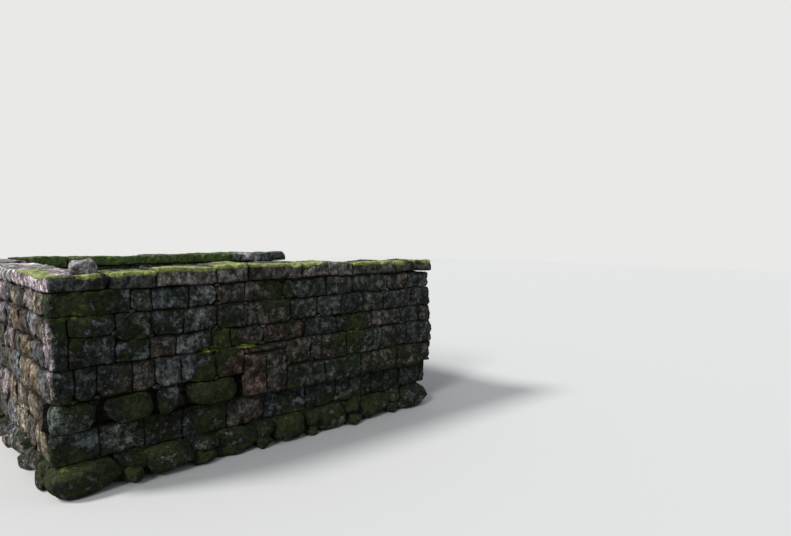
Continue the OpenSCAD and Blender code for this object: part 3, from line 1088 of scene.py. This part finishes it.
# %% [markdown]
# ## Rain streaks and iron stains
# Rain runs down the walls and leaves upright streaks, and iron in the rock bleeds out below it in rusty
# tongues. A Mapping node that shrinks the height draws a noise out downwards, which gives both.

# %% Rain and iron
STREAK_MM = 45
IRON_MM = 210
DRAWN_OUT = 0.22


def rain_and_iron(tree, place, colour, streaks, iron):
    upright = add(tree, "Mapping", {"Vector": place, "Scale": (1.0, 1.0, DRAWN_OUT)}, "Vector")
    run = add(tree, "TexNoise", {"Vector": upright, "Scale": per_mm(STREAK_MM), "Detail": 5.0,
                                 "Roughness": 0.6}, "Fac")
    streak = add(tree, "MapRange", {"Value": run, "From Min": 0.42, "From Max": 0.58, "To Min": 0.55,
                                    "To Max": 1.33}, "Result")
    colour = add(tree, "Mix", {0: streaks, 6: colour, 7: streak}, 2, data_type="RGBA", blend_type="MULTIPLY")
    tongue = add(tree, "TexNoise", {"Vector": upright, "Scale": per_mm(IRON_MM), "Detail": 7.0,
                                    "Roughness": 0.68, "Distortion": 0.8}, "Fac")
    rust = add(tree, "MapRange", {"Value": tongue, "From Min": 0.53, "From Max": 0.66, "To Max": iron},
               "Result")
    return add(tree, "Mix", {0: rust, 6: colour, 7: linear("#7f6240")}, 2, data_type="RGBA")


print("A streak is about", STREAK_MM, "mm wide and", round(STREAK_MM / DRAWN_OUT), "mm long")

# %% [markdown]
# ## Algae, lichen, dirt and painted shade
# In damp shade a dark film of algae covers the stone in clouds. Grey crusts of lichen grow on it with ragged
# edges, and keep off the pits of the grit. Dirt and painted shade darken the joints, where the mesh says how
# close a joint is.

# %% Algae, lichen, dirt and painted shade
ALGAE_MM = 380
LICHEN_MM = 130
JOINT_DIRT_AND_SHADE = 0.78


def algae_and_lichen(tree, place, colour, algae, lichen):
    cloud = add(tree, "TexNoise", {"Vector": place, "Scale": per_mm(ALGAE_MM), "Detail": 8.0,
                                   "Roughness": 0.68, "Distortion": 0.6}, "Fac")
    film = add(tree, "MapRange", {"Value": cloud, "From Min": 0.46, "From Max": 0.60, "To Max": algae},
               "Result")
    colour = add(tree, "Mix", {0: film, 6: colour, 7: linear("#1a1e16")}, 2, data_type="RGBA")
    crust = add(tree, "TexNoise", {"Vector": place, "Scale": per_mm(LICHEN_MM), "Detail": 10.0,
                                   "Roughness": 0.74, "Distortion": 0.3}, "Fac")
    crust = add(tree, "MapRange", {"Value": crust, "From Min": 0.55, "From Max": 0.60}, "Result")
    grit = add(tree, "TexNoise", {"Vector": place, "Scale": per_mm(GRIT_MM), "Detail": 3.0, "Roughness": 0.7},
               "Fac")
    grit = add(tree, "MapRange", {"Value": grit, "From Min": 0.38, "From Max": 0.50, "To Max": lichen},
               "Result")
    spots = add(tree, "Math", {0: crust, 1: grit}, 0, operation="MULTIPLY")
    return add(tree, "Mix", {0: spots, 6: colour, 7: linear("#8b918a")}, 2, data_type="RGBA")


def joint_dirt_and_painted_shade(tree, colour):
    joint = add(tree, "Attribute", out="Fac", attribute_name="joint")
    steep = add(tree, "Math", {0: joint, 1: 1.5}, 0, operation="POWER")
    dirt_and_shade = add(tree, "Math", {0: steep, 1: JOINT_DIRT_AND_SHADE}, 0, operation="MULTIPLY")
    # Darkens towards a joint, for dirt and as painted shade
    return add(tree, "Mix", {0: dirt_and_shade, 6: colour, 7: linear("#1a1a14")}, 2, data_type="RGBA")


print("Crusts of lichen of about", LICHEN_MM, "mm")

# %% [markdown]
# ## Colours of moss
# The mesh says how much moss there is, and a noise gives it a ragged edge. Old, thin moss at the edge is
# dark, deep moss is green, and the newest on the tops and ledges is yellow-green. Its tufts are a few
# millimetres in life, too fine to show from here, so they are drawn 24 mm wide.

# %% Moss colours
MOSS_TUFT_MM = 24
MOSS_EDGE_MM = 120
MOSS_CLOUD_MM = 75


def moss_depth(tree, place):
    """The amount of moss from the mesh, made ragged: about 0.5 at the edge, and over 1 where it is deep."""
    moss = add(tree, "Attribute", out="Fac", attribute_name="moss")
    edge = add(tree, "TexNoise", {"Vector": place, "Scale": per_mm(MOSS_EDGE_MM), "Detail": 10.0,
                                  "Roughness": 0.76}, "Fac")
    ragged = add(tree, "MapRange", {"Value": edge, "To Min": -1.0, "To Max": 1.0}, "Result")
    return add(tree, "Math", {0: moss, 1: ragged}, 0, operation="ADD")


def moss_green(tree, place, depth, moss_edge, old, young, fresh):
    """The colour of the moss: old and young in clouds of tufts, dark at its edge, fresh where it is deep."""
    green = linear(old)
    for size_mm, low, high in ((MOSS_CLOUD_MM, 0.44, 0.58), (MOSS_TUFT_MM, 0.44, 0.60)):
        cloud = add(tree, "TexNoise", {"Vector": place, "Scale": per_mm(size_mm), "Detail": 6.0,
                                       "Roughness": 0.75}, "Fac")
        share = add(tree, "MapRange", {"Value": cloud, "From Min": low, "From Max": high, "To Max": 0.65},
                    "Result")
        green = add(tree, "Mix", {0: share, 6: green, 7: linear(young)}, 2, data_type="RGBA")
    newest = add(tree, "MapRange", {"Value": depth, "From Min": 1.00, "From Max": 1.50}, "Result")
    green = add(tree, "Mix", {0: newest, 6: green, 7: linear(fresh)}, 2, data_type="RGBA")
    fringe = add(tree, "MapRange", {"Value": depth, "From Min": moss_edge + 0.03,
                                    "From Max": moss_edge + 0.35, "To Min": 0.38}, "Result")
    return add(tree, "Mix", {0: 1.0, 6: green, 7: fringe}, 2, data_type="RGBA", blend_type="MULTIPLY")


print("Tufts drawn", MOSS_TUFT_MM, "mm wide")

# %% [markdown]
# ## Roughness finer than the mesh
# The mesh carries facets and pits down to about 20 mm. Broken grain below that, and the tufts of moss, come
# from two Bump nodes in a row: the first roughens the stone, and the second raises the moss over it.

# %% Fine roughness
BROKEN_GRAIN_MM = 26
GRAIN_HIGH, TUFT_HIGH = 0.010, 0.014


def rough_normal(tree, place, cover):
    grain = add(tree, "TexNoise", {"Vector": place, "Scale": per_mm(BROKEN_GRAIN_MM), "Detail": 9.0,
                                   "Roughness": 0.68}, "Fac")
    stone = add(tree, "Bump", {"Strength": 1.0, "Distance": GRAIN_HIGH, "Height": grain}, "Normal")
    tufts = add(tree, "TexNoise", {"Vector": place, "Scale": per_mm(MOSS_TUFT_MM), "Detail": 6.0,
                                   "Roughness": 0.75}, "Fac")
    raised = add(tree, "Math", {0: tufts, 1: 0.6}, 0, operation="ADD")
    height = add(tree, "Math", {0: cover, 1: raised}, 0, operation="MULTIPLY")
    return add(tree, "Bump", {"Strength": 1.0, "Distance": TUFT_HIGH, "Height": height, "Normal": stone},
               "Normal")


print("Broken grain drawn at", BROKEN_GRAIN_MM, "mm")

# %% [markdown]
# ## The granite finishes
# One function lays the layers over each other, and its values make the finishes. They are all hand-worked
# granite, so the refractive index stays at 1.54, nothing is metallic, and the roughness is high. The pits, dirt
# and growth scatter nearly all of the gloss, so the specular level is low, or a grey haze would lie over the
# dark stone. The finishes differ in how the surface was made, and in how much damp, sun and growth it had; the
# near wall's finish and the moss also carry painted shade and sunlight.

# %% Granite
GRANITE_ROUGH, GRANITE_IOR, GRANITE_GLOSS = 0.88, 1.54, 0.1
MOSS_FADE, MOSS_COVER = 0.07, 0.92


def granite(name, moss, tone=1.0, lichen=0.5, iron=0.0, algae=0.4, streaks=0.5, moss_edge=0.5, plain=None):
    material = new_material(name)
    tree = material.node_tree
    place = add(tree, "TexCoord", out="Object")
    colour = bare_granite(tree, place, tone, plain)
    colour = rain_and_iron(tree, place, colour, streaks, iron)
    colour = algae_and_lichen(tree, place, colour, algae, lichen)
    colour = joint_dirt_and_painted_shade(tree, colour)
    depth = moss_depth(tree, place)
    cover = add(tree, "MapRange", {"Value": depth, "From Min": moss_edge, "From Max": moss_edge + MOSS_FADE,
                                   "To Max": MOSS_COVER}, "Result")
    green = moss_green(tree, place, depth, moss_edge, *moss)
    colour = add(tree, "Mix", {0: cover, 6: colour, 7: green}, 2, data_type="RGBA")
    normal = rough_normal(tree, place, cover)
    shader = add(tree, "BsdfPrincipled", {"Base Color": colour, "Roughness": GRANITE_ROUGH,
                                          "IOR": GRANITE_IOR, "Specular IOR Level": GRANITE_GLOSS,
                                          "Normal": normal}, "BSDF")
    add(tree, "OutputMaterial", {"Surface": shader})
    return material


# Old, young and fresh green of the moss in shade, in the sun and on the far wall's coping: the moss's own
# greens, darkened as painted shade for the shaded walls and the far coping, and lightened as painted sunlight
# for the sunny coping
SHADE_PAINTED_MOSS = ("#171d12", "#434e2a", "#a3b04f")
SUNLIGHT_PAINTED_MOSS = ("#47552a", "#bcc377", "#cfd487")
FAR_SHADE_PAINTED_MOSS = ("#28361c", "#6f8547", "#8ba05a")
MATERIALS = [
    # Faces split with wedges on the near wall: dull and nearly black, partly from algae and partly as painted
    # shade, with grey crusts and dark moss
    granite("damp_and_painted_shade_split_granite", SHADE_PAINTED_MOSS, tone=0.86, lichen=0.5, iron=0.15, algae=0.6),
    # The same faces in sun and wind: bleached grey, lilac and sand, streaked by rain and stained by iron
    granite("dry_split_granite", SHADE_PAINTED_MOSS, tone=0.86, lichen=0.35, iron=0.5, algae=0.4, streaks=0.75),
    # Slabs trimmed with a pitching chisel, open to the sky: pale, with cushions of bright moss on the arris
    granite("pitched_coping_granite", SUNLIGHT_PAINTED_MOSS, lichen=0.4, iron=0.1, algae=0.3, streaks=0.7),
    # The same slabs on the far wall, under an even green coat of moss that is darkened as painted shade, with
    # bare grey left at the end
    granite("painted_shade_coping_granite", FAR_SHADE_PAINTED_MOSS, lichen=0.8, algae=0.3, moss_edge=0.52),
    # Boulders rolled round by ice, at the foot and in the ledge: soft moss, darkened as painted shade, over
    # smooth grey stone
    granite("ice_ground_boulder_granite", SHADE_PAINTED_MOSS, tone=0.9, lichen=0.5, iron=0.1, algae=0.5, streaks=0.2,
            moss_edge=0.44),
    # Broken stones of the inner leaf and the chips, laid as they came: matt and grey, with a film of green
    granite("broken_rubble_granite", SHADE_PAINTED_MOSS, lichen=0.4, iron=0.2, algae=0.5),
    # Rubble rammed between the leaves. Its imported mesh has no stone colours, so one grey stands for them
    granite("packed_rubble_granite", SHADE_PAINTED_MOSS, tone=0.8, lichen=0.4, iron=0.2, algae=0.5, plain="#5f5c56"),
]
print("Finishes:", [material.name for material in MATERIALS])

# %% [markdown]
# ## Giving each piece its finish
# The imported model names a material slot for each node, and each slot takes one finish here. Only the far
# wall's coping departs from its slot's finish, because it is coated with moss that is painted darker as shade.
# Every piece stands for its node and rides on the one rigid body. The hearting nodes stay as packed and only
# get a better material.

# %% Giving each piece its finish
SLOT_MATERIAL = {
    "mossy_granite": "damp_and_painted_shade_split_granite", "weathered_granite": "dry_split_granite",
    "red_granite": "damp_and_painted_shade_split_granite", "coping_granite": "pitched_coping_granite",
    "field_boulder": "ice_ground_boulder_granite", "rubble": "broken_rubble_granite",
}
finish_named = {material.name: material for material in MATERIALS}
slot_of = {part["node"]: part["material_slot"] for part in frame["record"]["subparts"]}
for node, piece in pieces.items():
    kind = "painted_shade_coping_granite" if node == "rear_coping" else SLOT_MATERIAL[slot_of[node]]
    piece.data.materials.append(finish_named[kind])
    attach(piece, "root")
    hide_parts(node)
for node in frame["nodes"]:
    if node.endswith("hearting"):
        cad = frame["nodes"][node]
        cad.data.materials.clear()
        cad.data.materials.append(finish_named["packed_rubble_granite"])
chips.data.materials.append(finish_named["broken_rubble_granite"])
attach(chips, "root")
print("Dressed:", len(pieces) + 1, "pieces")

# %% [markdown]
# ## Floor and light
# The object is shown alone on a pale floor. A wide, soft sun lamp from the left and a little behind lights
# the left wall and the tops, as on site, and leaves the near wall in shade. A weak second one rakes over the
# near wall, so that its relief shows, and the sky fills the rest. The floor is pale to the camera but throws
# little light back, because nothing pale lay before the walls on site.

# %% Stage
FLOOR_HALF = 60.0
FLOOR_DROP = 0.002
SUN_AWAY = 20
SUN_SOFT = math.radians(14)
SKY_FILL = 0.46
SUNS = {"key": ((-0.66, 0.26, 0.70), 2.7), "rake": ((-0.78, -0.36, 0.50), 1.2)}


def seen_by_eye(tree):
    """1 for what the camera sees, directly, in a gloss or through glass, and 0 for what lights the object."""
    rays = add(tree, "LightPath")
    seen = rays.outputs["Is Camera Ray"]
    for kind in ("Is Glossy Ray", "Is Transmission Ray"):
        seen = add(tree, "Math", {0: seen, 1: rays.outputs[kind]}, 0, operation="MAXIMUM")
    return seen


def add_floor():
    bm = bmesh.new()
    bmesh.ops.create_grid(bm, x_segments=1, y_segments=1, size=FLOOR_HALF)
    bmesh.ops.translate(bm, vec=(0, 0, -FLOOR_DROP), verts=bm.verts[:])
    mesh = bpy.data.meshes.new("floor")
    bm.to_mesh(mesh)
    bm.free()
    floor = add_to_scene("floor", mesh)
    material = new_material("pale_floor_paint")
    tree = material.node_tree
    paint = add(tree, "Mix", {0: seen_by_eye(tree), 6: linear("#55554f"), 7: linear("#d6d5d2")}, 2,
                data_type="RGBA")
    shader = add(tree, "BsdfPrincipled", {"Base Color": paint, "Roughness": 0.9}, "BSDF")
    add(tree, "OutputMaterial", {"Surface": shader})
    mesh.materials.append(material)
    floor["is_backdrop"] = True
    return floor


def add_sun(name, towards, strength):
    lamp = bpy.data.lights.new(name, "SUN")
    lamp.angle = SUN_SOFT
    lamp.energy = strength
    holder = add_to_scene(name, lamp)
    holder.location = SUN_AWAY * Vector(towards)
    holder.rotation_euler = Vector(towards).to_track_quat("Z", "Y").to_euler()
    return holder


def add_world():
    world = bpy.data.worlds.new("soft_sky")
    bpy.context.scene.world = world
    world.use_nodes = True
    tree = world.node_tree
    tree.nodes.clear()
    fill = add(tree, "Background", {"Color": linear("#dde6f0"), "Strength": SKY_FILL}, 0)
    backdrop = add(tree, "Background", {"Color": linear("#e9e9e7"), "Strength": 1.0}, 0)
    both = add(tree, "MixShader", {0: seen_by_eye(tree), 1: fill, 2: backdrop}, 0)
    add(tree, "OutputWorld", {"Surface": both})


add_floor()
for name, (towards, strength) in SUNS.items():
    add_sun(name, towards, strength)
add_world()
bpy.context.scene.view_settings.view_transform = "Standard"

# %% [markdown]
# ## Sizes
# The dressed walls must stay within the imported model's box, so both boxes are printed and can be compared
# after each render.

# %% Sizes and finish
def plain(box):
    return [[float(c) for c in corner] for corner in box]


sizes = {"cad": plain(cad_box), "visual": plain(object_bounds())}
print("Dressed box:", [[round(c, 3) for c in corner] for corner in sizes["visual"]])
